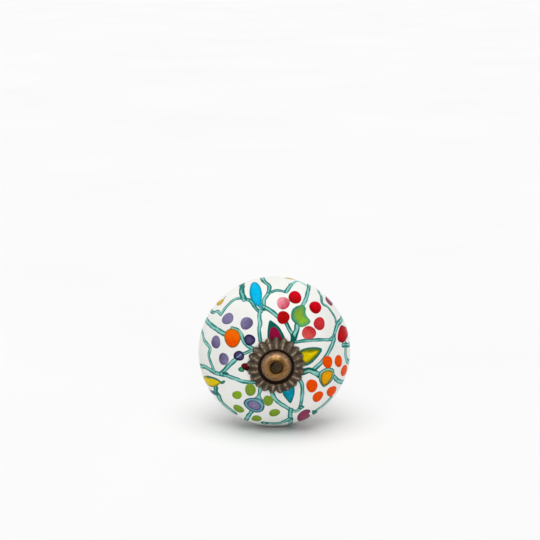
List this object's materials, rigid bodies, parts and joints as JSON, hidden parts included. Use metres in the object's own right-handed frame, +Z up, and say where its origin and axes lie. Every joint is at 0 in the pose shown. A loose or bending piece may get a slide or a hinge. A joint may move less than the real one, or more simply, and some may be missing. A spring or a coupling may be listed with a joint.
{
  "type": "cabinet knob",
  "caption": "Round painted ceramic cabinet knob with a fluted metal rosette, domed cap nut, flared base ferrule and threaded stud with washer and nut.",
  "frame": {"origin": "on the knob's axis, in the plane of the ferrule's back ring, which lies against the panel", "axes": "+Y along the axis, from the knob into the panel; +Z up; the painted face looks towards -Y"},
  "size_m": [0.04, 0.0666, 0.04],
  "materials": {
    "glazed_ceramic": "glossy white glaze, hand painted",
    "antique_bronze": "darkened, worn bright on the ridges",
    "polished_bronze": "polished, lightly tarnished",
    "zinc_steel": "zinc plated"
  },
  "bodies": {
    "root": {"ceramic_knob": "glazed_ceramic", "rosette": "antique_bronze", "cap_nut": "polished_bronze", "stud": "zinc_steel", "base_ferrule": "antique_bronze", "assembly_nut": "zinc_steel", "mounting_washer": "zinc_steel", "mounting_nut": "zinc_steel"}
  },
  "joints": []
}
